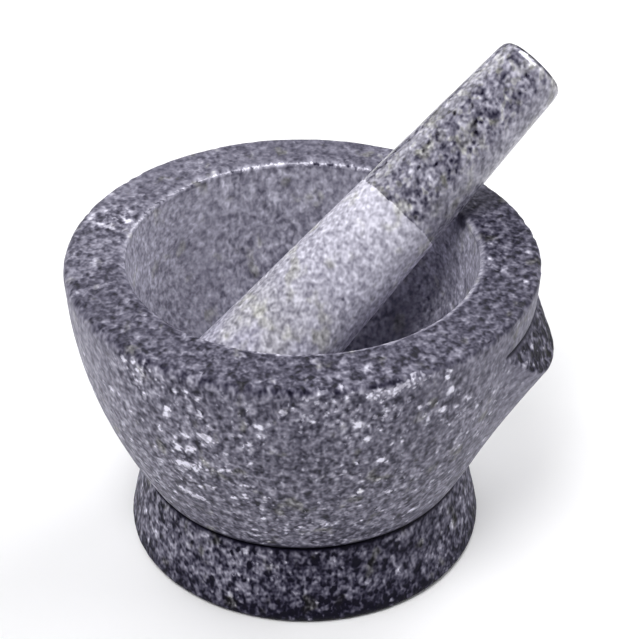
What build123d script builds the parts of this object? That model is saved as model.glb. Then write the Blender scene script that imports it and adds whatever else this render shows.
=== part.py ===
from build123d import *
import os

# A granite mortar and pestle: two pieces, each carved from one block of stone.
# Millimetres, +Z up. The origin is the centre of the mortar foot's flat underside,
# and the mortar's two carved lugs lie along +X and -X.

# Mortar body: heights above the table, radii about the bowl's upright axis
RIM_HEIGHT = 139.0
RIM_RADIUS = 100.0
RIM_ROUNDING = 4.0
BAND_FOOT_HEIGHT = 126.0
BAND_FOOT_RADIUS = 99.3
WAIST_HEIGHT = 74.0
WAIST_RADIUS = 88.9
LIP_HEIGHT = 37.1
LIP_RADIUS = 72.3

# Foot, and the thin groove cut between it and the bowl
FOOT_RADIUS = 79.2
FOOT_ROUNDING = 3.5
FOOT_BELLY_HEIGHT = 17.5
FOOT_BELLY_RADIUS = 76.0
SHOULDER_HEIGHT = 35.6
SHOULDER_RADIUS = 71.5
GROOVE_RADIUS = 66.0

# Hollow: a hemisphere under a slightly flared collar with a rounded mouth
HOLLOW_RADIUS = 72.0
HOLLOW_CENTRE_HEIGHT = 115.3
MOUTH_RADIUS = 74.0
MOUTH_ROUNDING = 3.0

# Lugs: slanting cones, point down, half sunk in the wall and cut off at the top by a
# ledge that slopes down and away from the wall all round
LUG_POINT_HEIGHT = 50.0
LUG_POINT_DISTANCE = 74.5
LUG_POINT_RADIUS = 4.4
LUG_TOP_HEIGHT = 124.0
LUG_TOP_DISTANCE = 89.8
LUG_TOP_RADIUS = 28.5
LEDGE_TOP_HEIGHT = 122.6
LEDGE_TOP_RADIUS = 99.1
LEDGE_DROP_PER_MM = 1.64

# Pestle: a tapered rod with a ball end, leaning on the rim
PESTLE_LENGTH = 211.0
BALL_RADIUS = 25.8
HANDLE_END_RADIUS = 16.0
HANDLE_ROUNDING = 4.0
LEAN_ABOVE_LEVEL = 37.07
LEAN_DIRECTION = 50.5
AXIS_CROSSING_HEIGHT = 106.3
BALL_TO_CROSSING = 40.0


def rounded(profile, corner, radius):
    """The flat profile with the corner nearest the given point rounded off."""
    vertex = profile.vertices().sort_by_distance(corner)[0]
    return fillet(vertex, radius)


def turned(profile):
    """The solid swept by a half section drawn with x as radius and y as height."""
    return revolve(Plane.XZ * profile, Axis.Z)


def body():
    """The outside of the mortar without its lugs, not yet hollowed."""
    foot_edge = (FOOT_RADIUS, 0)
    belly = (FOOT_BELLY_RADIUS, FOOT_BELLY_HEIGHT)
    shoulder = (SHOULDER_RADIUS, SHOULDER_HEIGHT)
    groove_root = (GROOVE_RADIUS, (SHOULDER_HEIGHT + LIP_HEIGHT) / 2)
    lip = (LIP_RADIUS, LIP_HEIGHT)
    waist = (WAIST_RADIUS, WAIST_HEIGHT)
    band_foot = (BAND_FOOT_RADIUS, BAND_FOOT_HEIGHT)
    rim_edge = (RIM_RADIUS, RIM_HEIGHT)

    band = Line(rim_edge, band_foot)
    upper_wall = TangentArc(band_foot, waist, tangent=band % 1)
    lower_wall = TangentArc(waist, lip, tangent=upper_wall % 1)
    profile = make_face(
        [
            Line((0, 0), foot_edge),
            ThreePointArc(foot_edge, belly, shoulder),
            Polyline(shoulder, groove_root, lip),
            lower_wall,
            upper_wall,
            band,
            Polyline(rim_edge, (0, RIM_HEIGHT), (0, 0)),
        ]
    )
    profile = rounded(profile, foot_edge, FOOT_ROUNDING)
    profile = rounded(profile, rim_edge, RIM_ROUNDING)
    return turned(profile)


def hollow():
    """The space inside the bowl, up through the rounded mouth."""
    floor = (0, HOLLOW_CENTRE_HEIGHT - HOLLOW_RADIUS)
    collar_foot = (HOLLOW_RADIUS, HOLLOW_CENTRE_HEIGHT)
    collar_top = (MOUTH_RADIUS, RIM_HEIGHT - MOUTH_ROUNDING)
    flare_centre = (MOUTH_RADIUS + MOUTH_ROUNDING, RIM_HEIGHT - MOUTH_ROUNDING)
    flare_top = (MOUTH_RADIUS + MOUTH_ROUNDING, RIM_HEIGHT)
    profile = make_face(
        [
            CenterArc((0, HOLLOW_CENTRE_HEIGHT), HOLLOW_RADIUS, -90, 90),
            Line(collar_foot, collar_top),
            CenterArc(flare_centre, MOUTH_ROUNDING, 90, 90),
            Polyline(flare_top, (0, RIM_HEIGHT), floor),
        ]
    )
    return turned(profile)


def lug():
    """The lug on the +X side: a slanting nub under a steep sloping ledge."""
    point = Pos(LUG_POINT_DISTANCE, 0, LUG_POINT_HEIGHT) * Circle(LUG_POINT_RADIUS)
    top = Pos(LUG_TOP_DISTANCE, 0, LUG_TOP_HEIGHT) * Circle(LUG_TOP_RADIUS)
    nub = loft([point, top])

    def ledge_radius(height):
        return LEDGE_TOP_RADIUS + (LEDGE_TOP_HEIGHT - height) / LEDGE_DROP_PER_MM

    under_ledge = make_face(
        Polyline(
            (0, LUG_POINT_HEIGHT),
            (ledge_radius(LUG_POINT_HEIGHT), LUG_POINT_HEIGHT),
            (ledge_radius(LUG_TOP_HEIGHT), LUG_TOP_HEIGHT),
            (0, LUG_TOP_HEIGHT),
            close=True,
        )
    )
    return nub & (Rot(0, 0, 90) * turned(under_ledge))


def mortar():
    """Foot, bowl and both lugs as the single carved stone."""
    stone = body()
    for turn in (0, 180):
        stone += Rot(0, 0, turn) * lug()
    return stone - hollow()


def pestle():
    """The pestle leaning in the bowl, built upright on the centre of its ball end."""
    handle_top = PESTLE_LENGTH - BALL_RADIUS
    handle_end = (HANDLE_END_RADIUS, handle_top)
    profile = make_face(
        [
            CenterArc((0, 0), BALL_RADIUS, -90, 90),
            Polyline((BALL_RADIUS, 0), handle_end, (0, handle_top), (0, -BALL_RADIUS)),
        ]
    )
    upright = turned(rounded(profile, handle_end, HANDLE_ROUNDING))
    raised = Pos(0, 0, -BALL_TO_CROSSING) * upright
    leaning = Rot(0, 90 - LEAN_ABOVE_LEVEL, 0) * raised
    return Pos(0, 0, AXIS_CROSSING_HEIGHT) * Rot(0, 0, LEAN_DIRECTION) * leaning


os.makedirs("parts", exist_ok=True)
for name, stone in (("mortar", mortar()), ("pestle", pestle())):
    export_step(stone, f"parts/{name}.step")
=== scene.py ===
import math
import random
from types import SimpleNamespace

import bpy
import numpy as np
from mathutils import Matrix, Vector, noise


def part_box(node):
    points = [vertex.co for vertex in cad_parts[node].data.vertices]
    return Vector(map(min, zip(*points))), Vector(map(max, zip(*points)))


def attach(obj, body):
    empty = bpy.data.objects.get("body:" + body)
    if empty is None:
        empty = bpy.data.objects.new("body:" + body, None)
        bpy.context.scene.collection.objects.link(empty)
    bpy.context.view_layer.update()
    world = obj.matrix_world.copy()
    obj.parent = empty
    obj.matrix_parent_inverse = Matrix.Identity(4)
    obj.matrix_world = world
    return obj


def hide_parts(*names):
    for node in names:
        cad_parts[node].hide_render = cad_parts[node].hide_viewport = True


# A carved granite mortar and pestle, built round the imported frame.
# Object sizes below are in millimetres; every mesh is written in metres in the frame's own axes.

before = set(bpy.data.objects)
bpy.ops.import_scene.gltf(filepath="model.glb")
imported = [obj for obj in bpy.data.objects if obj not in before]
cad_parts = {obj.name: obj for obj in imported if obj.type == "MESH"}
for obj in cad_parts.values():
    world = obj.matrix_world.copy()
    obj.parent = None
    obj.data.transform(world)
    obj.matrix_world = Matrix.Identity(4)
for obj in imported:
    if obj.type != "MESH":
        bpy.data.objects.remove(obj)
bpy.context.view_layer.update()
MM = 0.001

# --- Sizes of the two stones -------------------------------------------------------------
# Outline points of the mortar are a radius about the bowl's axis and a height
RIM_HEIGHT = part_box("mortar")[1].z / MM
RIM_RADIUS = 100.0
RIM_ROUNDING = 4.0
CRISP_RIM_ROUNDING = 1.6
BAND_FOOT = (99.3, 126.0)
WAIST = (88.9, 74.0)
LIP = (72.3, 37.1)
GROOVE_ROOT = (66.0, 36.4)
SHOULDER = (71.5, 35.6)
FOOT_BELLY = (76.0, 17.5)
FOOT_RADIUS = 79.2
FOOT_ROUNDING = 3.5
HOLLOW_RADIUS = 72.0
HOLLOW_CENTRE_HEIGHT = 115.3
MOUTH_RADIUS = 74.0
MOUTH_ROUNDING = 3.0

# Stretches of the mortar that differ from the rest, by azimuth and spread in degrees
CRISP_RIM = (-20, 48)
FLATTER_RIM = (73, 36)
FULLER_FOOT = (-25, 22)
UNHONED_MOUTH = (-118, 32)
RIM_FLATTENING = 1.7
FOOT_SWELLING = 0.9

LUG_POINT_HEIGHT = 54.8
LUG_GAUGE_HEIGHT = 112.0
LUG_REACH_AT_GAUGE = 14.4
LUG_HALF_WIDTH = math.radians(10.2)
LEDGE_TOP = (99.1, 122.6)
LEDGE_DROP_PER_MM = 1.58
BROW_SOFTNESS = 1.2
CREASE_DEPTH = 0.9

BALL_RADIUS = 25.8
HANDLE_END_RADIUS = 16.0
HANDLE_ROUNDING = 4.0
PESTLE_LENGTH = 211.0
PESTLE_TOP = PESTLE_LENGTH - BALL_RADIUS
LEAN_ABOVE_LEVEL = math.radians(37.07)
LEAN_DIRECTION = math.radians(50.5)
AXIS_CROSSING_HEIGHT = 106.3
BALL_TO_CROSSING = 40.0
# Where the handle's polish starts, along the axis from the ball's centre
POLISH_START = 99.3

# How finely the meshes are divided, in points round each ring
AROUND_MORTAR = 480
AROUND_PESTLE = 192

# The camera looks at the front, 20 degrees round from the -Y side towards +X
VIEW_TURN = math.radians(20.0)
ACROSS = (math.cos(VIEW_TURN), math.sin(VIEW_TURN), 0.0)
AWAY = (-math.sin(VIEW_TURN), math.cos(VIEW_TURN), 0.0)

# --- The stones' colours and marks -------------------------------------------------------
# Tones run from 0 for black to 1 for white, evenly spaced to the eye
DARKEST = 0.07
PALEST = 0.93
EYE_CURVE = 2.2
WALL_TONE = 0.39
FOOT_TONE = 0.252
RIM_TONE = 0.295
HOLLOW_TONE = 0.635
HEAD_TONE = 0.645
HANDLE_TONE = 0.485
# What red, green and blue add to the tone where the stone is cool and where it is warm
TINTS = ((0.002, 0.014), (-0.006, 0.011), (0.054, 0.002))

# About how large the grain's features are; all grain is a little narrower across the view
MORTAR_CLOUD = 30.0
PESTLE_CLOUD = 22.0
WARM_PATCH = 11.0
PATCH = 9.0
WIDE_GRAIN = 5.5
COARSE_GRAIN = 2.9
MIDDLE_GRAIN = 1.6
MORTAR_CRYSTAL = 2.7
PESTLE_CRYSTAL = 2.5
SQUEEZE = 0.24
GRAIN_SPREAD = 0.95

# Places on the mortar by azimuth in degrees, radius and height: where pale flecks gather, with
# how far they spread, and the ends of pale streaks, with their half width and strength
PALE_CLUSTERS = (
    ((-109, 99, 129), 21.0),
    ((-97, 93, 93), 27.0),
    ((-67, 99, 132), 19.0),
    ((-52, 99, 126), 15.0),
    ((-178, 84, 139), 13.0),
)
VEINED_PLACE = ((-178, 84, 139), 16.0)
# Where the leaning handle casts a painted shadow just inside the mouth
PESTLE_SHADOW_PLACE = ((41, 73.7, 136), 5.5)
PALE_STREAKS = (
    ((-106, 87.5, 70), (-98, 86.5, 67), 2.6, 0.48),
    ((-52, 99.8, 134), (-44, 99.8, 137.5), 2.2, 0.48),
    ((-141, 98, 139), (-143, 80, 139), 1.3, 0.22),
    ((-104, 93.5, 88), (-96, 94, 92), 2.4, 0.48),
    ((-95, 97.5, 112), (-91, 97, 109), 2.2, 0.48),
)
# The size of the noise that bends the streaks, and how far it bends them as a share of that
STREAK_SHAKE = 5.0
STREAK_BEND = 0.7

# --- Floor, lamps and eye ----------------------------------------------------------------
PALE_FLOOR = (0.93, 0.93, 0.94)
FLOOR_REACH = 12000.0
WHITE_FROM = 450.0
WHITE_BEYOND = 1500.0
SURROUNDINGS_STRENGTH = 0.1
LAMP_DISTANCE = 1800.0
# Each lamp's azimuth from the camera's and its elevation in degrees, its width and its watts
LAMPS = {
    "key": (-30, 62, 800.0, 25.0),
    "right": (90, 38, 1200.0, 10.5),
    "behind_left": (-150, 38, 1200.0, 11.5),
    "behind_right": (142, 48, 900.0, 13.5),
}
EYE_DISTANCE = 622.7
EYE_HEIGHT = 529.3
AIM_HEIGHT = 84.3
EYE_ROLL = math.radians(-0.5)
LENS = 98.65
SENSOR_WIDTH = 36.0
LENS_SHIFT = (0.0261, 0.0569)


# --- Outline helpers ---------------------------------------------------------------------
def straight(start, end, count):
    """Points from start towards end, leaving out the end itself."""
    shares = np.arange(count)[:, None] / count
    return np.array(start, float) + shares * (np.array(end, float) - np.array(start, float))


def round_about(centre, radius, first_degrees, last_degrees, count):
    """Points on an arc about centre, leaving out the last one."""
    angles = np.radians(np.linspace(first_degrees, last_degrees, count, endpoint=False))
    return np.array(centre, float) + radius * np.stack([np.cos(angles), np.sin(angles)], axis=1)


def leaving(start, heading, end, count):
    """Points on the arc that leaves start along heading and reaches end, closer together at
    first, and the heading it ends with."""
    start, end = np.array(start, float), np.array(end, float)
    heading = np.array(heading, float) / np.linalg.norm(heading)
    side = np.array([-heading[1], heading[0]])
    chord = end - start
    radius = (chord @ chord) / (2 * (side @ chord))
    turn = 2 * math.atan2(side @ chord, heading @ chord)
    angles = turn * (np.arange(count)[:, None] / count) ** 1.2
    points = start + radius * (np.sin(angles) * heading + (1 - np.cos(angles)) * side)
    last_heading = math.cos(turn) * heading + math.sin(turn) * side
    return points, last_heading


def rise(values, low, high):
    """0 below low, 1 above high, and a smooth step between."""
    share = np.clip((np.asarray(values, float) - low) / (high - low), 0, 1)
    return share * share * (3 - 2 * share)


def soft_lower(a, b, softness):
    """The lower of two values with the corner between them rounded."""
    near = np.clip(0.5 + 0.5 * (b - a) / softness, 0, 1)
    return b * (1 - near) + a * near - softness * near * (1 - near)


def bump_at(azimuths, centre_degrees, spread_degrees):
    """A bell-shaped weight round one azimuth, 1 at its centre."""
    gap = np.angle(np.exp(1j * (azimuths - math.radians(centre_degrees))))
    return np.exp(-((gap / math.radians(spread_degrees)) ** 2) / 2)


# --- Mesh helpers ------------------------------------------------------------------------
def wavering(points, size, seed):
    """Smooth noise from -1 to 1 at each point, with features of about the given size."""
    shift = Vector((seed * 17.3, seed * -9.1, seed * 5.7))
    flat = points.reshape(-1, 3) / size
    values = [noise.noise(Vector(p) + shift) for p in flat]
    return np.array(values).reshape(points.shape[:-1])


def grid_normals(points, outward):
    """Unit normals of a grid of rings, turned to agree with the rough outward directions."""
    along = np.gradient(points, axis=0)
    around = np.roll(points, -1, axis=1) - np.roll(points, 1, axis=1)
    normals = np.cross(around, along)
    lengths = np.linalg.norm(normals, axis=2, keepdims=True)
    normals = normals / np.maximum(lengths, 1e-9)
    flip = np.sign((normals * outward).sum(axis=2, keepdims=True))
    return normals * np.where(flip == 0, 1, flip)


def ring_mesh(name, rings, first_pole, last_pole, traits):
    """A closed mesh from rings of points in millimetres, with one point closing each end."""
    rows, around = rings.shape[:2]
    points = np.concatenate([rings.reshape(-1, 3), [first_pole, last_pole]]) * MM
    start, end = rows * around, rows * around + 1
    faces = []
    for row in range(rows - 1):
        for k in range(around):
            after = (k + 1) % around
            low, high = row * around, (row + 1) * around
            faces.append((low + k, low + after, high + after, high + k))
    last = (rows - 1) * around
    for k in range(around):
        after = (k + 1) % around
        faces.append((start, after, k))
        faces.append((end, last + k, last + after))
    mesh = bpy.data.meshes.new(name)
    mesh.from_pydata(points.tolist(), [], faces)
    for trait, values in traits.items():
        whole = np.concatenate([values.reshape(-1), [values[0].mean(), values[-1].mean()]])
        attribute = mesh.attributes.new(trait, "FLOAT", "POINT")
        attribute.data.foreach_set("value", whole.astype(np.float32))
    mesh.polygons.foreach_set("use_smooth", [True] * len(mesh.polygons))
    mesh.validate()
    mesh.update()
    piece = bpy.data.objects.new(name, mesh)
    bpy.context.scene.collection.objects.link(piece)
    return piece


def chips(points, seed, count, place, width_range, depth_range):
    """Small scoops knocked out of the stone at picked places: how deep each point is cut."""
    picker = random.Random(seed)
    depth = np.zeros(points.shape[:2])
    for _ in range(count):
        centre = np.array(place(picker))
        width = picker.uniform(*width_range)
        deepest = picker.uniform(*depth_range)
        stretch = np.array([1.0, 1.0, picker.uniform(1.0, 1.8)])
        gap = np.linalg.norm((points - centre) * stretch, axis=2) / width
        depth = np.maximum(depth, deepest * np.clip(1 - gap**2, 0, 1))
    return depth


def on_circle(radius, height, first_degrees=0, last_degrees=360):
    """A picker of places on a level circle between two azimuths."""

    def place(picker):
        azimuth = math.radians(picker.uniform(first_degrees, last_degrees))
        return radius * math.cos(azimuth), radius * math.sin(azimuth), height

    return place


def on_side(outline, low, high):
    """A picker of places anywhere on a turned outline between two heights."""

    def place(picker):
        height = picker.uniform(low, high)
        azimuth = picker.uniform(0, 2 * math.pi)
        radius = np.interp(height, outline[:, 1], outline[:, 0])
        return radius * math.cos(azimuth), radius * math.sin(azimuth), height

    return place


def all_round(count):
    """The azimuths of a ring's points, as one row."""
    return np.linspace(0, 2 * math.pi, count, endpoint=False)[None, :]


def turned(azimuths, radii, heights):
    """Points from their azimuths, radii and heights."""
    return np.stack([radii * np.cos(azimuths), radii * np.sin(azimuths), heights], axis=2)


def stands_for(piece, node):
    """Takes the place of a CAD node and moves with the body of the same name."""
    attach(piece, node)
    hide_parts(node)
    return piece


# --- Mortar ------------------------------------------------------------------------------
ZONES = {"underside": 0, "foot": 1, "groove": 2, "wall": 3, "rim": 4, "hollow": 5}


def mortar_outline(rim_rounding):
    """Radius and height of each ring, from the underside's middle to the hollow's floor."""
    rim_side = RIM_RADIUS - 0.2
    band_top = (rim_side, RIM_HEIGHT - rim_rounding)
    heading = np.array(BAND_FOOT) - np.array([RIM_RADIUS, RIM_HEIGHT])
    upper_wall, heading = leaving(BAND_FOOT, heading, WAIST, 50)
    lower_wall, _ = leaving(WAIST, heading, LIP, 20)
    foot_corner = (FOOT_RADIUS - FOOT_ROUNDING, FOOT_ROUNDING)
    rim_corner = (rim_side - rim_rounding, RIM_HEIGHT - rim_rounding)
    flare = (MOUTH_RADIUS + MOUTH_ROUNDING, RIM_HEIGHT - MOUTH_ROUNDING)
    collar_top = (MOUTH_RADIUS, RIM_HEIGHT - MOUTH_ROUNDING)
    collar_foot = (HOLLOW_RADIUS, HOLLOW_CENTRE_HEIGHT)
    side_foot = (FOOT_RADIUS - 0.2, FOOT_ROUNDING)
    stretches = [
        ("underside", straight((12, 0), (foot_corner[0], 0), 7)),
        ("foot", round_about(foot_corner, FOOT_ROUNDING, -90, -5, 5)),
        ("foot", straight(side_foot, FOOT_BELLY, 8)),
        ("foot", straight(FOOT_BELLY, SHOULDER, 10)),
        ("groove", straight(SHOULDER, GROOVE_ROOT, 4)),
        ("groove", straight(GROOVE_ROOT, LIP, 5)),
        ("wall", np.array([LIP])),
        ("wall", lower_wall[::-1]),
        ("wall", upper_wall[:0:-1]),
        ("wall", straight(BAND_FOOT, band_top, 7)),
        ("rim", round_about(rim_corner, rim_rounding, 0, 90, 7)),
        ("rim", straight((rim_corner[0], RIM_HEIGHT), (flare[0], RIM_HEIGHT), 12)),
        ("rim", round_about(flare, MOUTH_ROUNDING, 90, 180, 7)),
        ("hollow", straight(collar_top, collar_foot, 11)),
        ("hollow", round_about((0, HOLLOW_CENTRE_HEIGHT), HOLLOW_RADIUS, 0, -86, 52)),
    ]
    points = np.concatenate([points for _, points in stretches])
    zones = np.concatenate([np.full(len(points), ZONES[zone]) for zone, points in stretches])
    return points, zones


def lug_surface(azimuths, heights, wall_radii):
    """Radius of the lugs' surface: two swellings of the wall, cut off above by a steep ledge."""
    growth = np.maximum(heights - LUG_POINT_HEIGHT, 0) / (LUG_GAUGE_HEIGHT - LUG_POINT_HEIGHT)
    aside = np.abs(np.angle(np.exp(2j * azimuths))) / 2
    swelling = np.exp(-((aside / LUG_HALF_WIDTH) ** 2.8))
    lug = wall_radii + LUG_REACH_AT_GAUGE * growth**1.9 * swelling
    ledge = LEDGE_TOP[0] + (LEDGE_TOP[1] - heights) / LEDGE_DROP_PER_MM
    return soft_lower(lug, ledge, BROW_SOFTNESS), lug - ledge


def mortar_profile(azimuths):
    """Radius, height and zone of each point as turned; the rim's corner is crisper at the near right."""
    soft_outline, zones = mortar_outline(RIM_ROUNDING)
    crisp_outline, _ = mortar_outline(CRISP_RIM_ROUNDING)
    crisp = bump_at(azimuths, *CRISP_RIM)[:, :, None]
    profile = soft_outline[:, None, :] * (1 - crisp) + crisp_outline[:, None, :] * crisp
    return profile[:, :, 0], profile[:, :, 1], zones[:, None] + 0 * azimuths.astype(int)


def add_lugs(azimuths, heights, radii, on_wall):
    """The radii with the lugs on, how much of each point is ledge, and the crease above it."""
    lug_radii, over_ledge = lug_surface(azimuths + 0 * heights, heights, radii)
    lug = np.where(on_wall & (heights < LEDGE_TOP[1] + 3), np.maximum(lug_radii - radii, 0), 0)
    ledge = rise(lug, 0.3, 1.6) * rise(over_ledge, -0.8, 0.8)
    lug_side = rise(over_ledge, 0.2, 2.0) * on_wall
    crease = lug_side * np.exp(-(((heights - LEDGE_TOP[1] - 0.2) / 0.9) ** 2))
    return radii + lug, ledge, crease


def out_of_round(azimuths, heights, radii):
    """The radii with the far side of the rim flatter and the foot fuller at the near right."""
    high = rise(radii, 78, 96) * rise(heights, 85, 128)
    low = rise(20 - heights, 0, 16) * rise(radii, 60, 74)
    radii = radii - RIM_FLATTENING * high * bump_at(azimuths, *FLATTER_RIM)
    return radii + FOOT_SWELLING * low * bump_at(azimuths, *FULLER_FOOT)


def how_rough(zone, mouth_side, ledge):
    """How roughly each part was worked, from 0 for honed to 1 for hewn."""
    low_part = (zone == ZONES["foot"]) | (zone == ZONES["underside"])
    rough = np.where(zone == ZONES["hollow"], 0.04, 0.4)
    rough = np.where(zone == ZONES["rim"], 1.0 - 0.75 * mouth_side, rough)
    rough = np.where(low_part, 0.85, rough)
    return np.maximum(rough, 0.95 * ledge)


def hand_working(points, inner, hold, rough, ledge):
    """How deep the stone is cut by slow unevenness, hewn facets and grain. Outside, this balances
    about the turned shape; inside, stone is only taken away, so the pestle stays clear."""
    slow = 0.5 * wavering(points, 42.0, 1) + 0.5 * inner
    facets = 0.5 * wavering(points, 9.0, 2) + 0.5 * inner
    grain = 0.5 * wavering(points, 3.2, 3) + 0.5 * inner
    depth = (0.12 + 0.4 * rough) * slow + rough * (0.22 * facets + 0.26 * grain)
    on_ledge = 1.1 * ledge * (0.2 + 0.5 * wavering(points, 4.0, 4))
    return hold * (depth + on_ledge)


def mortar_chips(points):
    """How deep the rim's two edges are chipped and the wall is pitted."""
    outline, zones = mortar_outline(RIM_ROUNDING)
    wall = on_side(outline[zones == ZONES["wall"]], 40, 125)
    rim_edge = on_circle(RIM_RADIUS - 1.2, RIM_HEIGHT - 1.2)
    nicked_edge = on_circle(RIM_RADIUS - 0.6, RIM_HEIGHT - 0.6, -65, 20)
    mouth_edge = on_circle(MOUTH_RADIUS + 1.0, RIM_HEIGHT - 0.8, 110, 195)
    other_edge = on_circle(MOUTH_RADIUS + 1.0, RIM_HEIGHT - 0.8, 195, 470)
    depth = chips(points, 11, 26, rim_edge, (1.5, 3.6), (0.15, 0.6))
    depth = depth + chips(points, 15, 20, nicked_edge, (1.4, 3.0), (0.5, 1.3))
    depth = depth + chips(points, 12, 46, mouth_edge, (1.0, 2.2), (0.2, 0.6))
    depth = depth + chips(points, 13, 24, other_edge, (1.0, 2.0), (0.1, 0.4))
    return depth + chips(points, 14, 150, wall, (1.6, 3.4), (0.15, 0.5))


def mortar():
    """Foot, bowl, rim and lugs of the mortar as one closed, hand-worked stone surface."""
    azimuths = all_round(AROUND_MORTAR)
    radii, heights, zone = mortar_profile(azimuths)
    radii, ledge, crease = add_lugs(azimuths, heights, radii, zone == ZONES["wall"])
    radii = out_of_round(azimuths, heights, radii)
    points = turned(azimuths, radii, heights)
    hollow = zone == ZONES["hollow"]
    into_hollow = np.array([0.0, 0.0, HOLLOW_CENTRE_HEIGHT]) - points
    from_inside = points - np.array([0.0, 0.0, 60.0])
    normals = grid_normals(points, np.where(hollow[:, :, None], into_hollow, from_inside))

    on_rim = zone == ZONES["rim"]
    mouth_side = rise(MOUTH_RADIUS + 3.5 - radii, 0, 3) * on_rim
    rough = how_rough(zone, mouth_side, ledge)
    inner = np.clip(hollow + mouth_side, 0, 1)
    hold = np.where((zone == ZONES["groove"]) | (zone == ZONES["underside"]), 0.0, 1.0)
    cut = hand_working(points, inner, hold, rough, ledge) + CREASE_DEPTH * crease
    cut = cut + mortar_chips(points)
    points = points - normals * cut[:, :, None]
    points[:, :, 2] = np.maximum(points[:, :, 2], 0.0)

    # The honing runs out over the mouth's edge, except at the near left
    honed_edge = mouth_side * (1 - 0.9 * bump_at(azimuths, *UNHONED_MOUTH))
    top_face = on_rim * rise(heights, RIM_HEIGHT - 2.4, RIM_HEIGHT - 0.3)
    # Painted shade in the groove under the bowl and in the crease over each ledge, given to the material
    # as the crevice trait
    groove = rise(2.6 - np.abs(heights - GROOVE_ROOT[1]), 0, 1.0)
    traits = {
        "rough": rough,
        "honed": np.clip(hollow + 0.7 * honed_edge, 0, 1),
        "foot": rise(38 - heights, 0, 2.5),
        "rim": np.clip(top_face - honed_edge + ledge, 0, 1),
        "ledge": ledge,
        "painted_crevice_shade": np.clip(groove + crease, 0, 1),
    }
    floor_height = HOLLOW_CENTRE_HEIGHT - HOLLOW_RADIUS
    piece = ring_mesh("mortar_stone", points, (0, 0, 0), (0, 0, floor_height), traits)
    return stands_for(piece, "mortar")


# --- Pestle ------------------------------------------------------------------------------
PESTLE_POSE = (
    Matrix.Translation((0, 0, AXIS_CROSSING_HEIGHT))
    @ Matrix.Rotation(LEAN_DIRECTION, 4, "Z")
    @ Matrix.Rotation(math.pi / 2 - LEAN_ABOVE_LEVEL, 4, "Y")
    @ Matrix.Translation((0, 0, -BALL_TO_CROSSING))
)
BALL_CENTRE = PESTLE_POSE @ Vector((0, 0, 0))
PESTLE_AXIS = (PESTLE_POSE @ Vector((0, 0, 1))) - BALL_CENTRE
# Square to the axis and to the line of sight, towards the handle's flank with the painted reflection
FLANK = tuple(PESTLE_AXIS.cross(Vector((0.28, -0.77, 0.57))).normalized())


def pestle_outline():
    """Radius and distance up the axis of each ring, from the ball end to the handle's end."""
    handle_corner = (HANDLE_END_RADIUS - HANDLE_ROUNDING, PESTLE_TOP - HANDLE_ROUNDING)
    handle_side = (HANDLE_END_RADIUS + 0.2, PESTLE_TOP - HANDLE_ROUNDING)
    return np.concatenate(
        [
            round_about((0, 0), BALL_RADIUS, -87, 0, 30),
            straight((BALL_RADIUS, 0), handle_side, 112),
            round_about(handle_corner, HANDLE_ROUNDING, 3, 90, 7),
            straight((handle_corner[0], PESTLE_TOP), (1.0, PESTLE_TOP), 7),
        ]
    )


def pestle():
    """The leaning pestle: ball end, long taper and polished handle."""
    outline = pestle_outline()
    azimuths = all_round(AROUND_PESTLE)
    along = outline[:, 1:] + 0 * azimuths
    points = turned(azimuths, outline[:, :1] + 0 * azimuths, along)
    normals = grid_normals(points, points - np.array([0.0, 0.0, 60.0]))

    # Near the ball stone is only taken away, so the pestle stays clear of the hollow
    free = rise(along, 45, 65)
    slow = 0.5 * wavering(points, 30.0, 5) + 0.5 * (1 - free)
    facets = 0.5 * wavering(points, 8.0, 6) + 0.5 * (1 - free)
    end_edge = on_circle(HANDLE_END_RADIUS - 1, PESTLE_TOP - 1)
    side = np.array([(BALL_RADIUS, 0.0), (HANDLE_END_RADIUS, PESTLE_TOP)])
    cut = 0.24 * slow + 0.1 * facets
    cut = cut + chips(points, 21, 12, end_edge, (1.2, 2.6), (0.1, 0.5))
    cut = cut + chips(points, 22, 60, on_side(side, -10, PESTLE_TOP - 8), (1.2, 2.2), (0.08, 0.3))
    points = points - normals * cut[:, :, None]

    to_end = PESTLE_TOP - along
    # A band on the end's rounding that carries the painted highlight
    painted_highlight_band = rise(to_end, 0.9, 1.6) * (1 - rise(to_end, 3.2, 4.0))
    traits = {
        "flat_end": 1 - rise(to_end, 0.4, 1.2),
        # Painted shade on the far part of the end's rounding
        "dark_edge": rise(to_end, 0.1, 0.5) * (1 - rise(to_end, 1.1, 2.0)),
        # Painted highlight on one stretch of the end's rounding
        "bright_edge": painted_highlight_band * bump_at(azimuths, 210, 15),
    }
    turn, shift = np.array(PESTLE_POSE)[:3, :3], np.array(PESTLE_POSE)[:3, 3]
    ends = (0.15 - BALL_RADIUS, PESTLE_TOP - 0.15)
    poles = [turn @ np.array((0.0, 0.0, end)) + shift for end in ends]
    piece = ring_mesh("pestle_stone", points @ turn.T + shift, *poles, traits)
    return stands_for(piece, "pestle")


# --- Stone -------------------------------------------------------------------------------
def spot(azimuth_degrees, radius, height):
    """The place at an azimuth, a radius from the bowl's axis and a height."""
    azimuth = math.radians(azimuth_degrees)
    return Vector((radius * math.cos(azimuth), radius * math.sin(azimuth), height))


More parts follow.
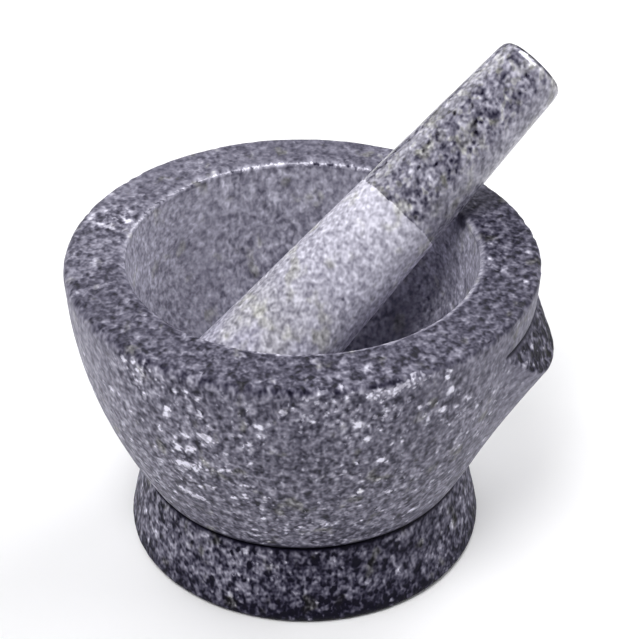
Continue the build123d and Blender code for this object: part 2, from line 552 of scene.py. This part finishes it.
class Finish:
    """One material's nodes, with a short call for each kind of node."""

    def __init__(self, name):
        self.material = bpy.data.materials.new(name)
        self.material.use_nodes = True
        self.tree = self.material.node_tree
        self.tree.nodes.clear()
        place = self.add("ShaderNodeTexCoord").outputs["Object"]
        self.place = self.scaled(place, 1 / MM)
        self.across = self.vector("DOT_PRODUCT", self.place, ACROSS, output="Value")
        squeezed = self.vector("ADD", self.place, self.scaled(ACROSS, self.times(self.across, SQUEEZE)))
        self.squeezed = self.scaled(squeezed, GRAIN_SPREAD)

    def add(self, kind, settings=None, inputs=None):
        node = self.tree.nodes.new(kind)
        for key, value in (settings or {}).items():
            setattr(node, key, value)
        for key, value in (inputs or {}).items():
            self.feed(node.inputs[key], value)
        return node

    def feed(self, socket, value):
        if isinstance(value, bpy.types.NodeSocket):
            self.tree.links.new(value, socket)
        else:
            socket.default_value = value

    def maths(self, operation, *values):
        node = self.add("ShaderNodeMath", {"operation": operation})
        for socket, value in zip(node.inputs, values):
            self.feed(socket, value)
        return node.outputs[0]

    def total(self, *values):
        result = values[0]
        for value in values[1:]:
            result = self.maths("ADD", result, value)
        return result

    def times(self, *values):
        result = values[0]
        for value in values[1:]:
            result = self.maths("MULTIPLY", result, value)
        return result

    def sum_of(self, *terms):
        """The sum of several terms, each a value or a tuple of values to multiply."""
        return self.total(*(self.times(*term) if isinstance(term, tuple) else term for term in terms))

    def vector(self, operation, *values, output=0):
        node = self.add("ShaderNodeVectorMath", {"operation": operation})
        for socket, value in zip(node.inputs, values):
            self.feed(socket, value)
        return node.outputs[output]

    def scaled(self, vector, amount):
        inputs = {0: vector, "Scale": amount}
        return self.add("ShaderNodeVectorMath", {"operation": "SCALE"}, inputs).outputs[0]

    def trait(self, name):
        return self.add("ShaderNodeAttribute", {"attribute_name": name}).outputs["Fac"]

    def step(self, value, low, high, start=0.0, end=1.0):
        """A smooth step of value between low and high, from start to end."""
        inputs = {"Value": value, "From Min": low, "From Max": high, "To Min": start, "To Max": end}
        return self.add("ShaderNodeMapRange", {"interpolation_type": "SMOOTHSTEP"}, inputs).outputs[0]

    def between(self, share, a, b):
        """A value share of the way from a to b."""
        inputs = {"Value": share, "To Min": a, "To Max": b}
        return self.add("ShaderNodeMapRange", {}, inputs).outputs[0]

    def shifted(self, x, y, z, stretch=(1.0, 1.0, 1.0)):
        """The place on the stone moved to a fresh part of the noise, and stretched."""
        return self.vector("ADD", self.vector("MULTIPLY", self.squeezed, stretch), (x, y, z))

    def noise(self, where, size, detail=2.0, roughness=0.5, distortion=0.0):
        """Soft noise round 0, about -1 to 1, with features of about the given size in mm."""
        inputs = {
            "Vector": where,
            "Scale": 1 / size,
            "Detail": detail,
            "Roughness": roughness,
            "Distortion": distortion,
        }
        fac = self.add("ShaderNodeTexNoise", {}, inputs).outputs["Fac"]
        return self.maths("MULTIPLY_ADD", fac, 4.0, -2.0)

    def bent(self, where, size, bend):
        """A place shaken by noise of the given size, by about bend times that size."""
        inputs = {"Vector": where, "Scale": 1 / size, "Detail": 1.0}
        shake = self.add("ShaderNodeTexNoise", {}, inputs).outputs["Color"]
        return self.vector("MULTIPLY_ADD", shake, (bend * size,) * 3, where)

    def cells(self, where, size, softness=0.0):
        """Distance from the nearest of scattered seeds, and that seed's own random values."""
        inputs = {"Vector": where, "Scale": 1 / size}
        settings = {"feature": "F1"}
        if softness > 0:
            inputs["Smoothness"] = softness
            settings = {"feature": "SMOOTH_F1"}
        node = self.add("ShaderNodeTexVoronoi", settings, inputs)
        parts = self.add("ShaderNodeSeparateColor", {}, {"Color": node.outputs["Color"]})
        return node.outputs["Distance"], parts.outputs[0], parts.outputs[1]

    def crystals(self, where, size, bend=0.4, softness=0.35):
        """A random value from -1 to 1 for each interlocking crystal of the given size."""
        _, value, _ = self.cells(self.bent(where, size * 0.8, bend), size, softness)
        return self.maths("MULTIPLY_ADD", value, 2.0, -1.0)

    def coarse_grain(self, where):
        return self.noise(where, COARSE_GRAIN, 1.0, 0.4, 0.3)

    def middle_grain(self, where):
        return self.noise(where, MIDDLE_GRAIN, 0.0)

    def grain(self, cloud_size, crystal_size):
        """The grain that both stones have, from slow clouds to single crystals, and warm patches."""
        return SimpleNamespace(
            cloud=self.noise(self.shifted(11, 5, 3), cloud_size),
            wide=self.noise(self.shifted(19, 57, 39), WIDE_GRAIN, 0.0),
            coarse=self.coarse_grain(self.shifted(3, 27, 9)),
            middle=self.middle_grain(self.shifted(31, 2, 19)),
            crystal=self.crystals(self.shifted(14, 3, 37), crystal_size),
            warm=self.noise(self.shifted(9, 9, 99), WARM_PATCH),
        )

    def flecks(self, where, spacing, share, reach, bend=0.9):
        """Scattered ragged spots: one in so many seeds, up to reach times the spacing across."""
        distance, pick, width = self.cells(self.bent(where, spacing * 0.35, bend), spacing)
        chosen = self.maths("LESS_THAN", pick, share)
        edge = self.times(self.between(width, 0.45, 1.0), reach)
        inside = self.maths("SUBTRACT", edge, distance)
        return self.times(chosen, self.step(inside, 0.0, reach * 0.7))

    def close_to(self, place, reach):
        """1 near a place given by azimuth, radius and height, falling to 0 at reach."""
        gap = self.vector("DISTANCE", self.place, tuple(spot(*place)), output="Value")
        return self.step(gap, reach * 0.3, reach, 1.0, 0.0)

    def streak(self, start, end, half_width, shake):
        """1 inside a ragged spindle between two places, 0 outside it."""
        start, end = spot(*start), spot(*end)
        heading = tuple((end - start).normalized())
        half_length = (end - start).length / 2
        mean_shake = Vector((STREAK_SHAKE * STREAK_BEND / 2,) * 3)
        shaken = self.bent(self.place, STREAK_SHAKE, STREAK_BEND)
        away = self.vector("SUBTRACT", shaken, tuple((start + end) / 2 + mean_shake))
        along = self.vector("DOT_PRODUCT", away, heading, output="Value")
        pull = self.scaled(heading, self.times(along, half_width / half_length - 1))
        gap = self.vector("LENGTH", self.vector("ADD", away, pull), output="Value")
        ragged = self.sum_of((gap, 1 / half_width), (shake, 0.7))
        return self.step(ragged, 0.4, 1.4, 1.0, 0.0)

    def colour(self, parts):
        """A colour from its red, green and blue."""
        inputs = dict(zip(("Red", "Green", "Blue"), parts))
        return self.add("ShaderNodeCombineColor", {}, inputs).outputs[0]

    def stone(self, tone, warmth, roughness, relief, specular):
        """The stone's surface, coloured from its tone."""
        inputs = {"Value": tone, "Min": DARKEST, "Max": PALEST}
        tone = self.add("ShaderNodeClamp", {}, inputs).outputs[0]
        parts = []
        for cool, warm in TINTS:
            tinted = self.total(tone, self.between(warmth, cool, warm))
            parts.append(self.maths("POWER", tinted, EYE_CURVE))
        bump = self.add("ShaderNodeBump", {}, {"Height": relief, "Distance": MM})
        inputs = {
            "Base Color": self.colour(parts),
            "Roughness": roughness,
            "Specular IOR Level": specular,
            "Normal": bump.outputs[0],
        }
        return self.finished(self.add("ShaderNodeBsdfPrincipled", {}, inputs))

    def finished(self, shader):
        """The material, showing the given shader."""
        self.add("ShaderNodeOutputMaterial", {}, {"Surface": shader.outputs[0]})
        return self.material


def mortar_places(s):
    """What part of the mortar a point is on, and how far it lies in several directions."""
    honed, foot, rim = s.trait("honed"), s.trait("foot"), s.trait("rim")
    dressed = s.maths("MINIMUM", s.total(honed, foot, rim), 1.0)
    wall = s.maths("SUBTRACT", 1.0, dressed)
    axes = s.add("ShaderNodeSeparateXYZ", {}, {"Vector": s.place})
    east, north, height = axes.outputs[0], axes.outputs[1], axes.outputs[2]
    flat = s.vector("MULTIPLY", s.place, (1.0, 1.0, 0.0))
    beside = s.maths("ABSOLUTE", s.across)
    far = s.vector("DOT_PRODUCT", s.place, AWAY, output="Value")
    return SimpleNamespace(
        honed=honed,
        foot=foot,
        rim=rim,
        wall=wall,
        ledge=s.trait("ledge"),
        height=height,
        radius=s.vector("LENGTH", flat, output="Value"),
        beside=beside,
        left=s.sum_of((east, -1.0), (north, 0.2)),
        far_left=s.sum_of((east, -0.62), (north, 0.78)),
        # The far side of the rim and the two flanks of the wall are calmer; on the wall's flanks, seen
        # at a grazing angle, this is a painted sheen
        calm_and_sheen=s.sum_of((rim, s.step(far, 10.0, 75.0), 0.4), (wall, s.step(beside, 55.0, 92.0), 0.45)),
    )


def mortar_grain(s, at):
    """The mortar's grain, which lies flatter on the hollow's two steep sides."""
    grain = s.grain(MORTAR_CLOUD, MORTAR_CRYSTAL)
    grain.patch = s.noise(s.shifted(71, 15, 43), PATCH)
    steep = s.times(at.honed, s.step(at.beside, 32.0, 58.0))
    lying = s.scaled(s.vector("ADD", s.place, s.scaled(ACROSS, s.times(s.across, -0.5))), 1.3)
    grain.coarse = s.between(steep, grain.coarse, s.coarse_grain(lying))
    grain.middle = s.between(steep, grain.middle, s.middle_grain(lying))
    return grain


def mortar_level(s, at):
    """The tone of each part of the mortar under its grain and flecks, with painted light and shade by
    side and by height.
    """
    # Painted light: the wall is paler on its two flanks and towards the left
    painted_wall_light = s.sum_of((at.calm_and_sheen, 0.12), s.step(s.across, -92.0, -30.0, 0.11, 0.0))
    # Painted light: the foot is paler towards the left and a little towards the right, darkest at the
    # front
    painted_foot_light = s.total(
        s.step(s.across, -62.0, 0.0, 0.145, 0.0),
        s.step(s.across, 15.0, 60.0, 0.0, 0.048),
    )
    rim_shade = s.total(
        s.step(at.far_left, -10.0, 80.0, 0.0, 0.08),
        s.step(s.across, 50.0, 80.0, 0.0, -0.025),
        s.step(s.across, -90.0, -60.0, 0.02, 0.0),
    )
    # Painted shade deep in the hollow, and painted light on its left side and near the mouth on the
    # right
    painted_hollow_light_and_shade = s.sum_of(
        s.step(s.across, -62.0, -40.0, 0.02, 0.0),
        s.step(at.height, 78.0, 114.0, -0.1, 0.02),
        (s.step(at.height, 100.0, 132.0), s.step(s.across, 20.0, 66.0, 0.0, 0.075)),
    )
    return s.sum_of(
        WALL_TONE,
        (at.wall, painted_wall_light),
        (at.foot, s.total(painted_foot_light, FOOT_TONE - WALL_TONE)),
        (at.rim, s.total(rim_shade, RIM_TONE - WALL_TONE)),
        (at.honed, s.total(painted_hollow_light_and_shade, HOLLOW_TONE - WALL_TONE)),
        # Painted shade: darker towards the bottom of the foot
        s.step(at.height, 0.0, 17.0, -0.19, 0.0),
    )


def mortar_strength(s, at, gathered):
    """How strongly the grain and flecks show on each part of the mortar."""
    strength = s.sum_of(
        1.0,
        (at.honed, s.step(s.across, -62.0, -20.0, -0.28, -0.18)),
        (at.rim, s.step(s.across, -75.0, -25.0, -0.05, 0.05)),
        (at.foot, s.step(s.across, 10.0, 60.0, 0.36, 0.05)),
        (at.wall, s.step(s.across, 15.0, 60.0, 0.13, -0.05)),
    )
    # Grain and flecks fade on the far side of the rim and, as a painted sheen, on the wall's flanks
    return s.times(strength, s.between(gathered, 0.92, 1.12), s.maths("SUBTRACT", 1.0, at.calm_and_sheen))


def mortar_flecks(s, at, gathered):
    """What the mortar's flecks add to its tone; the larger pale ones are drawn out level."""
    huge_share = s.between(gathered, 0.0, 0.6)
    large_share = s.between(gathered, 0.03, 0.6)
    medium_share = s.between(gathered, 0.1, 0.6)
    huge = s.flecks(s.shifted(27, 63, 31, (0.7, 0.7, 1.0)), 6.0, huge_share, 0.45, 1.7)
    large = s.flecks(s.shifted(61, 17, 3, (0.75, 0.75, 1.0)), 4.2, large_share, 0.5, 1.5)
    medium = s.flecks(s.shifted(5, 81, 33, (0.9, 0.9, 1.0)), 3.0, medium_share, 0.55, 1.2)
    small = s.flecks(s.shifted(9, 31, 73), 2.5, 0.24, 0.6)
    dark = s.flecks(s.shifted(45, 61, 29), 3.2, 0.3, 0.65)
    on_rim = s.times(at.rim, s.between(gathered, -0.09, 0.12))
    return s.sum_of(
        (huge, s.sum_of(0.2, (at.wall, 0.25), on_rim, (at.honed, -0.2))),
        (large, s.sum_of(0.18, (at.wall, 0.26), on_rim, (at.honed, -0.14))),
        (medium, s.sum_of(0.1, (at.wall, 0.22), (at.foot, 0.12), (at.honed, -0.05))),
        (small, s.sum_of(0.06, (at.ledge, 0.3))),
        (dark, s.sum_of(-0.09, (at.ledge, -0.22), (at.foot, -0.08))),
    )


def pale_marks(s, at, grain):
    """What the net of veins on the left of the rim and the pale streaks add to the tone."""
    net = s.total(
        s.step(s.maths("ABSOLUTE", s.sum_of(grain.coarse, (grain.wide, 0.4))), 0.0, 0.32, 0.09, 0.0),
        s.step(s.sum_of((grain.coarse, 0.6), grain.wide), 0.2, 0.9, 0.0, 0.29),
    )
    streaks = 0.0
    for start, end, half_width, share in PALE_STREAKS:
        streak = s.times(s.streak(start, end, half_width, grain.middle), share)
        streaks = s.maths("MAXIMUM", streaks, streak)
    return s.sum_of((net, at.rim, s.close_to(*VEINED_PLACE)), streaks)


def mouth_wear(s, at, grain):
    """What the fresh stone along the mouth's edge adds to the tone, most of all at the far left."""
    outward = s.maths("SUBTRACT", at.radius, MOUTH_RADIUS + 0.3 * MOUTH_ROUNDING)
    upward = s.maths("SUBTRACT", at.height, RIM_HEIGHT - 0.3 * MOUTH_ROUNDING)
    gap = s.add("ShaderNodeCombineXYZ", {}, {"X": outward, "Y": upward}).outputs[0]
    off_edge = s.vector("LENGTH", gap, output="Value")
    worn = s.step(s.sum_of(off_edge, (grain.middle, 0.8)), 0.05, 0.7, 1.0, 0.0)
    broken = s.step(s.sum_of(grain.patch, (grain.coarse, 0.8)), -0.65, 0.15, -0.4, 1.0)
    worst = s.times(s.step(at.far_left, 20.0, 50.0), broken)
    some = s.step(at.left, -20.0, 60.0)
    return s.times(worn, s.sum_of(-0.06, (worst, 0.33), (some, 0.02)))


def mortar_stone():
    """Dark grey granite: hewn outside, honed in the hollow, darker on the rim and foot."""
    s = Finish("mortar_granite_stone")
    at = mortar_places(s)
    grain = mortar_grain(s, at)
    gathered = s.step(s.sum_of(grain.cloud, (grain.patch, 0.9)), -0.3, 1.0)
    for place, reach in PALE_CLUSTERS:
        gathered = s.maths("MAXIMUM", gathered, s.close_to(place, reach))

    honed_grain = s.sum_of((grain.patch, 0.025), (grain.coarse, 0.05), (grain.middle, -0.015))
    pattern = s.sum_of(
        (grain.crystal, 0.04),
        (grain.wide, 0.075),
        (grain.coarse, 0.185),
        (grain.middle, 0.08),
        (at.honed, honed_grain),
        mortar_flecks(s, at, gathered),
    )
    # The outer part of each ledge is darker: painted shade, along with darker hewn stone there
    outer_ledge = s.times(at.ledge, s.step(s.total(at.radius, grain.coarse), 101.0, 104.5))
    tone = s.sum_of(
        mortar_level(s, at),
        (pattern, mortar_strength(s, at, gathered)),
        (grain.cloud, 0.02),
        pale_marks(s, at, grain),
        (outer_ledge, -0.16),
        (at.ledge, grain.coarse, 0.15),
        mouth_wear(s, at, grain),
    )
    # Painted shadow of the leaning pestle just inside the mouth
    painted_pestle_shadow = s.times(at.honed, s.close_to(*PESTLE_SHADOW_PLACE))
    # Painted shade in the groove and creases, and the painted shadow of the pestle, darken the tone
    tone = s.times(tone, s.between(s.trait("painted_crevice_shade"), 1.0, 0.14), s.between(painted_pestle_shadow, 1.0, 0.4))

    warmth = s.step(grain.warm, 0.4, 0.9, 0.0, 0.65)
    roughness = s.sum_of(s.between(at.honed, 0.6, 0.55), (grain.crystal, 0.06), (grain.middle, 0.04))
    relief = s.sum_of((grain.coarse, 0.12), (grain.middle, 0.06), (grain.crystal, 0.02))
    relief = s.times(relief, s.sum_of(0.25, (s.trait("rough"), 1.1)), s.between(at.honed, 1.0, 0.35))
    return s.stone(tone, warmth, roughness, relief, s.between(at.foot, 0.3, 0.12))


def head_tone(s, grain, along, chalky):
    """Fine pale grain, paler towards the handle."""
    specks = s.flecks(s.shifted(15, 51, 9), 2.4, 0.36, 0.55)
    return s.sum_of(
        HEAD_TONE,
        (grain.middle, 0.08),
        (grain.coarse, 0.14),
        (specks, -0.09),
        (chalky, 0.04),
        s.step(along, 30.0, 95.0, 0.0, 0.125),
    )


def handle_tone(s, grain, along, painted_flank_reflection):
    """Salt and pepper; a painted reflection pales and softens one flank, with painted shade and a
    painted highlight at the end's edge.
    """
    dark = s.flecks(s.shifted(45, 61, 29), 2.9, 0.45, 0.62)
    pale = s.flecks(s.shifted(61, 17, 3), 3.3, 0.36, 0.6)
    lively = s.sum_of(
        (grain.crystal, 0.07),
        (grain.coarse, 0.21),
        (grain.middle, 0.1),
        (dark, -0.24),
        (pale, 0.17),
        (grain.wide, s.step(along, 110.0, 160.0, 0.04, 0.12)),
        s.step(along, 115.0, 150.0, 0.015, -0.01),
    )
    # Painted highlight on the end's edge
    bright_edge = s.step(s.sum_of(s.trait("bright_edge"), (grain.middle, 0.15)), 0.45, 0.75)
    return s.sum_of(
        HANDLE_TONE,
        (lively, s.between(painted_flank_reflection, 1.0, 0.6)),
        (painted_flank_reflection, 0.07),
        (s.trait("flat_end"), -0.12),
        (s.trait("dark_edge"), -0.22),
        (bright_edge, 0.42),
    )


def pestle_stone():
    """Paler granite: honed on the ball and taper, polished to salt and pepper on the handle."""
    s = Finish("pestle_granite_stone")
    from_ball = s.vector("SUBTRACT", s.place, tuple(BALL_CENTRE))
    along = s.vector("DOT_PRODUCT", from_ball, tuple(PESTLE_AXIS), output="Value")
    towards_flank = s.vector("DOT_PRODUCT", from_ball, FLANK, output="Value")
    grain = s.grain(PESTLE_CLOUD, PESTLE_CRYSTAL)

    edge = s.sum_of(POLISH_START, (grain.coarse, 0.3), (grain.crystal, 0.25), (grain.cloud, 0.3))
    past = s.maths("SUBTRACT", along, edge)
    polish = s.step(past, -0.3, 0.3)
    dull = s.maths("SUBTRACT", 1.0, polish)
    chalky = s.times(dull, s.step(past, -2.2, -0.4))
    # Painted reflection: the handle's flank square to the line of sight is paler, its grain softer and
    # less warm
    painted_flank_reflection = s.step(s.total(towards_flank, grain.cloud), 5.0, 13.0)
    tone = s.sum_of(
        (dull, head_tone(s, grain, along, chalky)),
        (polish, handle_tone(s, grain, along, painted_flank_reflection)),
        (grain.cloud, 0.015),
    )

    # Warm in places, in single crystals of the handle, and stained towards the ball
    warm_grain = s.times(polish, s.step(grain.crystal, 0.2, 0.9), s.between(painted_flank_reflection, 0.6, 0.0))
    stained = s.times(s.step(along, 20.0, 62.0, 0.4, 0.0), s.step(grain.cloud, -0.6, 0.4))
    warmth = s.step(grain.warm, 0.1, 0.8, 0.0, 0.7)
    warmth = s.maths("MINIMUM", s.total(warmth, warm_grain, stained), 1.0)
    roughness = s.between(polish, 0.62, 0.22)
    roughness = s.sum_of(roughness, (grain.middle, 0.03), (s.trait("flat_end"), 0.1))
    relief = s.sum_of((grain.middle, 0.04), (grain.coarse, 0.05))
    relief = s.times(relief, s.between(polish, 1.0, 0.35))
    return s.stone(tone, warmth, roughness, relief, s.between(polish, 0.35, 0.5))


# --- Floor, light and camera -------------------------------------------------------------
def floor_surface():
    """Pale and faintly mottled; to the eye its far parts fade into plain white."""
    s = Finish("pale_floor")
    mottle = s.times(s.noise(s.shifted(1, 2, 3), 60.0, 3.0), 0.006)
    shades = [s.total(mottle, part) for part in PALE_FLOOR]
    inputs = {"Base Color": s.colour(shades), "Roughness": 0.9}
    surface = s.add("ShaderNodeBsdfPrincipled", {}, inputs)
    white = s.add("ShaderNodeEmission")
    seen = s.add("ShaderNodeLightPath").outputs["Is Camera Ray"]
    away = s.vector("LENGTH", s.place, output="Value")
    whiteness = s.times(seen, s.step(away, WHITE_FROM, WHITE_BEYOND))
    inputs = {"Fac": whiteness, 1: surface.outputs[0], 2: white.outputs[0]}
    return s.finished(s.add("ShaderNodeMixShader", {}, inputs))


def floor():
    """A wide flat floor for the mortar to stand on."""
    mesh = bpy.data.meshes.new("floor")
    corners = [(x, y, 0) for x, y in ((-1, -1), (1, -1), (1, 1), (-1, 1))]
    corners = [Vector(corner) * FLOOR_REACH * MM for corner in corners]
    mesh.from_pydata(corners, [], [(0, 1, 2, 3)])
    mesh.materials.append(floor_surface())
    ground = bpy.data.objects.new("floor", mesh)
    bpy.context.scene.collection.objects.link(ground)


def from_view(azimuth_degrees):
    """An azimuth counted from the camera's, in radians about the frame's own axis."""
    return VIEW_TURN - math.pi / 2 + math.radians(azimuth_degrees)


def soft_light(name, azimuth_degrees, elevation_degrees, width, power):
    """A large square light that faces the object; its azimuth counts from the camera's."""
    azimuth, elevation = from_view(azimuth_degrees), math.radians(elevation_degrees)
    level = math.cos(elevation)
    direction = Vector((level * math.cos(azimuth), level * math.sin(azimuth), math.sin(elevation)))
    lamp = bpy.data.lights.new(name, "AREA")
    lamp.shape = "SQUARE"
    lamp.size = width * MM
    lamp.energy = power
    lamp_object = bpy.data.objects.new(name, lamp)
    lamp_object.location = direction * LAMP_DISTANCE * MM
    lamp_object.rotation_euler = direction.to_track_quat("Z", "Y").to_euler()
    # The key would draw a line of light along the handle, so it gives no mirror highlights
    lamp_object.visible_glossy = name != "key"
    bpy.context.scene.collection.objects.link(lamp_object)


def surroundings():
    """A world that lights the stones faintly but looks plain white to the eye."""
    world = bpy.data.worlds.new("studio")
    world.use_nodes = True
    tree = world.node_tree
    background = tree.nodes["Background"]
    background.inputs["Color"].default_value = (1.0, 1.0, 1.0, 1.0)
    seen = tree.nodes.new("ShaderNodeLightPath").outputs["Is Camera Ray"]
    strength = tree.nodes.new("ShaderNodeMapRange")
    strength.inputs["To Min"].default_value = SURROUNDINGS_STRENGTH
    strength.inputs["To Max"].default_value = 1.0
    tree.links.new(seen, strength.inputs["Value"])
    tree.links.new(strength.outputs[0], background.inputs["Strength"])
    bpy.context.scene.world = world


def camera():
    """The eye: above and in front, turned a little round from the -Y side."""
    azimuth = from_view(0)
    eye = Vector((math.cos(azimuth) * EYE_DISTANCE, math.sin(azimuth) * EYE_DISTANCE, EYE_HEIGHT))
    view = bpy.data.cameras.new("camera")
    view.lens = LENS
    view.sensor_width = SENSOR_WIDTH
    view.shift_x, view.shift_y = LENS_SHIFT
    view.clip_end = 5 * FLOOR_REACH * MM
    eye_object = bpy.data.objects.new("camera", view)
    facing = (eye - Vector((0, 0, AIM_HEIGHT))).to_track_quat("Z", "Y").to_matrix().to_4x4()
    roll = Matrix.Rotation(EYE_ROLL, 4, "Z")
    eye_object.matrix_world = Matrix.Translation(eye * MM) @ facing @ roll
    bpy.context.scene.collection.objects.link(eye_object)
    bpy.context.scene.camera = eye_object


mortar().data.materials.append(mortar_stone())
pestle().data.materials.append(pestle_stone())
floor()
surroundings()
for lamp_name, settings in LAMPS.items():
    soft_light(lamp_name, *settings)
camera()
bpy.context.scene.view_settings.view_transform = "Standard"
